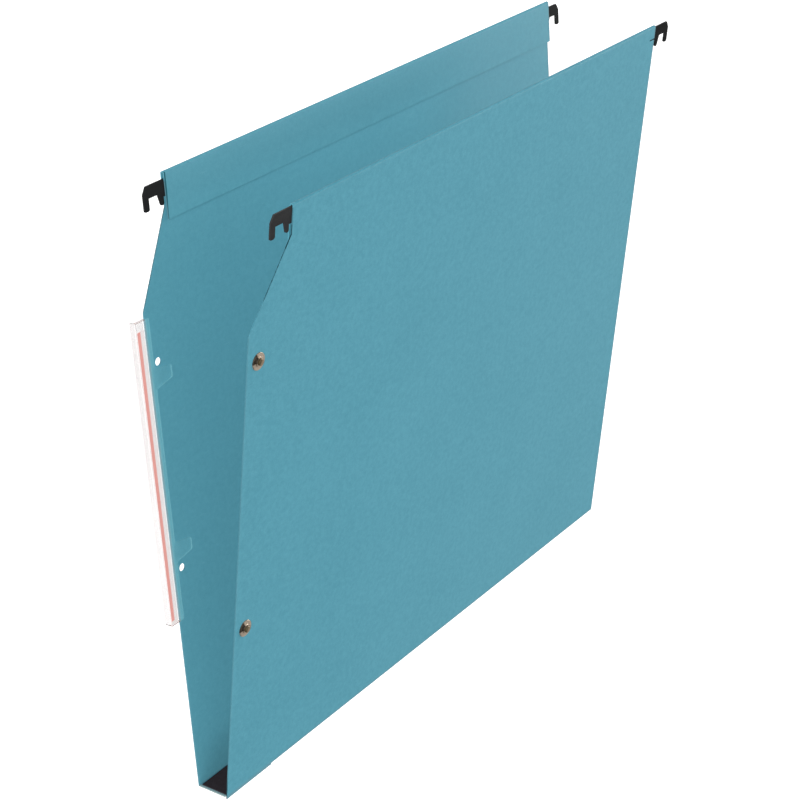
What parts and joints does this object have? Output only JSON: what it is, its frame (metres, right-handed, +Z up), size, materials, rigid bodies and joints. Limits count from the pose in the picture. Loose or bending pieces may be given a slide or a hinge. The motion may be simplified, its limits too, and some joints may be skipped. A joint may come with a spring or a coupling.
{
  "type": "hanging file folder",
  "caption": "Lateral hanging file folder of card with a flat base, hook-ended rails in its top hems, press studs and a clear label holder on one edge.",
  "frame": {"origin": "middle of the four hook seats, at the height where the support rails' top edges bear", "axes": "+X along the rails to the right, +Y from the front panel to the back panel, +Z up"},
  "size_m": [0.3608, 0.0662, 0.2936],
  "materials": {
    "card": "matt dyed kraft card",
    "black_card": "matt black card",
    "glue": "set hot-melt glue",
    "steel": "dark oiled strip",
    "black_plastic": "fine satin black",
    "brass": "pressed, slightly dull",
    "clear_plastic": "clear, glossy",
    "label_paper": "white, with one coloured stripe"
  },
  "bodies": {
    "back_rail_set": {"back_rail": "steel", "back_left_hook": "black_plastic", "back_right_hook": "black_plastic"},
    "back_leaf": {"back_panel": "card", "back_hem_seam": "glue", "label_holder": "clear_plastic"},
    "base_leaf": {"base_panel": "card", "base_strip": "black_card"},
    "front_leaf": {"front_panel": "card", "front_hem_seam": "glue", "upper_stud": "brass", "lower_stud": "brass", "upper_stud_cap": "brass", "lower_stud_cap": "brass"},
    "front_rail_set": {"front_rail": "steel", "front_left_hook": "black_plastic", "front_right_hook": "black_plastic"},
    "label": {"label_insert": "label_paper"}
  },
  "joints": [
    {"name": "back_hem_slide", "type": "slide", "parent": "back_rail_set", "child": "back_leaf", "axis": [1, 0, 0], "range_m": [-0.003, 0.003]},
    {"name": "back_fold", "type": "hinge", "parent": "back_leaf", "child": "base_leaf", "pos_m": [0, 0.0082, -0.28374], "axis": [1, 0, 0], "range_deg": [-6, 85]},
    {"name": "front_fold", "type": "hinge", "parent": "base_leaf", "child": "front_leaf", "pos_m": [0, -0.0082, -0.28374], "axis": [1, 0, 0], "range_deg": [-6, 85]},
    {"name": "front_hem_slide", "type": "slide", "parent": "front_leaf", "child": "front_rail_set", "axis": [1, 0, 0], "range_m": [-0.003, 0.003]},
    {"name": "label_slide", "type": "slide", "parent": "back_leaf", "child": "label", "axis": [0, 0.0845, 0.9964], "range_m": [0, 0.15]}
  ]
}
